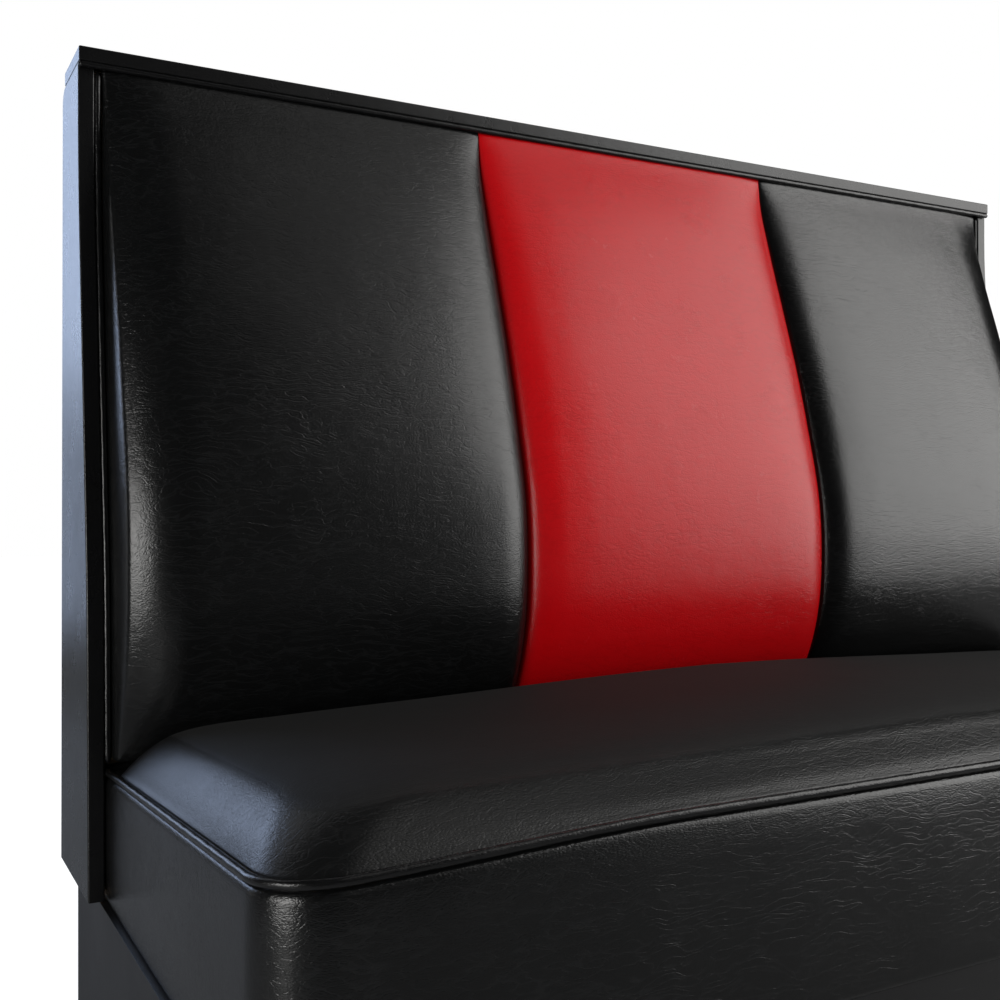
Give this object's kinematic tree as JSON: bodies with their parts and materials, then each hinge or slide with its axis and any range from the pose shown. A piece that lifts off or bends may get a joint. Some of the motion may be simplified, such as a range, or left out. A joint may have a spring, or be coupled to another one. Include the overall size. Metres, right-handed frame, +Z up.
{
  "type": "restaurant booth bench",
  "caption": "Single-sided upholstered booth bench: black vinyl, padded channelled back with a red middle channel, flat cap, welted crowned seat and recessed base.",
  "frame": {"origin": "on the floor under the centre of the outer box", "axes": "+X along the bench to its right end seen from the front, +Y to the rear, +Z up; the seat's front faces -Y"},
  "size_m": [1.168, 0.593, 1.067],
  "materials": {
    "black_vinyl": "satin",
    "red_vinyl": "satin",
    "black_finished_board": "satin",
    "plywood": "matte",
    "frame_wood": "matte",
    "zinc_steel": "satin",
    "glide_plastic": "matte"
  },
  "bodies": {
    "booth_frame": {"back_board": "plywood", "back_bolt_nuts": "zinc_steel", "back_bolt_washers": "zinc_steel", "back_bolts": "zinc_steel", "back_channel_center": "red_vinyl", "back_channel_left": "black_vinyl", "back_channel_right": "black_vinyl", "back_rails_lower": "frame_wood", "back_rails_upper": "frame_wood", "back_sole_plate": "frame_wood", "back_stile_left": "frame_wood", "back_stile_mid_left": "frame_wood", "back_stile_mid_right": "frame_wood", "back_stile_right": "frame_wood", "back_top_plate": "frame_wood", "back_welt_left": "black_vinyl", "back_welt_right": "black_vinyl", "base_corner_blocks": "frame_wood", "base_front_board": "black_finished_board", "base_glides": "glide_plastic", "base_ledge": "frame_wood", "base_partition": "plywood", "base_rear_board": "black_finished_board", "base_side_left": "black_finished_board", "base_side_right": "black_finished_board", "cap_welt": "black_vinyl", "end_board_left": "black_vinyl", "end_board_right": "black_vinyl", "outside_back_board": "black_vinyl", "top_cap": "black_vinyl"},
    "seat": {"seat_border": "black_vinyl", "seat_corner_block_left": "frame_wood", "seat_corner_block_right": "frame_wood", "seat_cross_rail_left": "frame_wood", "seat_cross_rail_right": "frame_wood", "seat_cushion": "black_vinyl", "seat_deck": "plywood", "seat_front_rail": "frame_wood", "seat_rear_rail": "frame_wood", "seat_side_rail_left": "frame_wood", "seat_side_rail_right": "frame_wood", "seat_welt": "black_vinyl"}
  },
  "joints": [
    {"name": "seat_slide", "type": "slide", "parent": "booth_frame", "child": "seat", "axis": [0, -1, 0], "range_m": [0, 0.12]}
  ]
}
